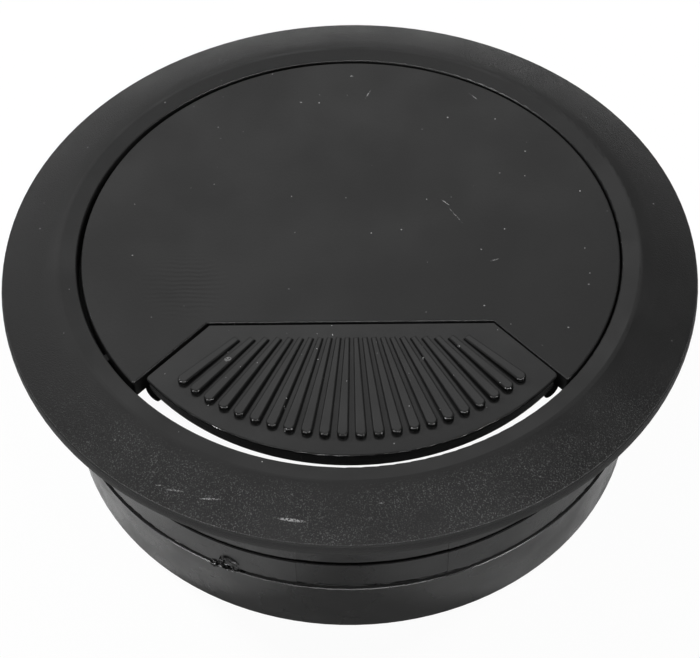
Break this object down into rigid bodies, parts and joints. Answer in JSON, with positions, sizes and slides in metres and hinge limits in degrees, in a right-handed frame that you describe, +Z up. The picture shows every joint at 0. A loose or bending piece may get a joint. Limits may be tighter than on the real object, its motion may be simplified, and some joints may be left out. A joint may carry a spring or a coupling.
{
  "type": "cable grommet",
  "caption": "Round desk cable grommet: a sloping flange on a straight sleeve, with a flush cap and a sprung flap with a fan of ribs that swings down to let cables through.",
  "frame": {"origin": "middle of the desk hole, level with the flange's underside", "axes": "+Z up out of the desk along the sleeve's axis, -Y from the middle towards the flap's front edge, +X to the right of the flap"},
  "size_m": [0.068, 0.068, 0.0233],
  "materials": {
    "ring_plastic": "black moulding, fine spark-grained slope, satin sleeve",
    "cap_plastic": "black moulding, satin with light handling marks",
    "flap_plastic": "black moulding, satin with polished rib ends",
    "pin_steel": "drawn bright steel",
    "spring_steel": "drawn spring wire"
  },
  "bodies": {
    "grommet": {"outer_ring": "ring_plastic", "cap": "cap_plastic", "hinge_pin": "pin_steel", "flap_spring": "spring_steel"},
    "flap": {"flap": "flap_plastic"}
  },
  "joints": [
    {"name": "flap_hinge", "type": "hinge", "parent": "grommet", "child": "flap", "pos_m": [0, -0.01112, -0.00045], "axis": [1, 0, 0], "range_deg": [0, 70], "stiffness_Nm_per_rad": 0.012, "springref_deg": -57.3, "deforming": ["flap_spring"]}
  ]
}
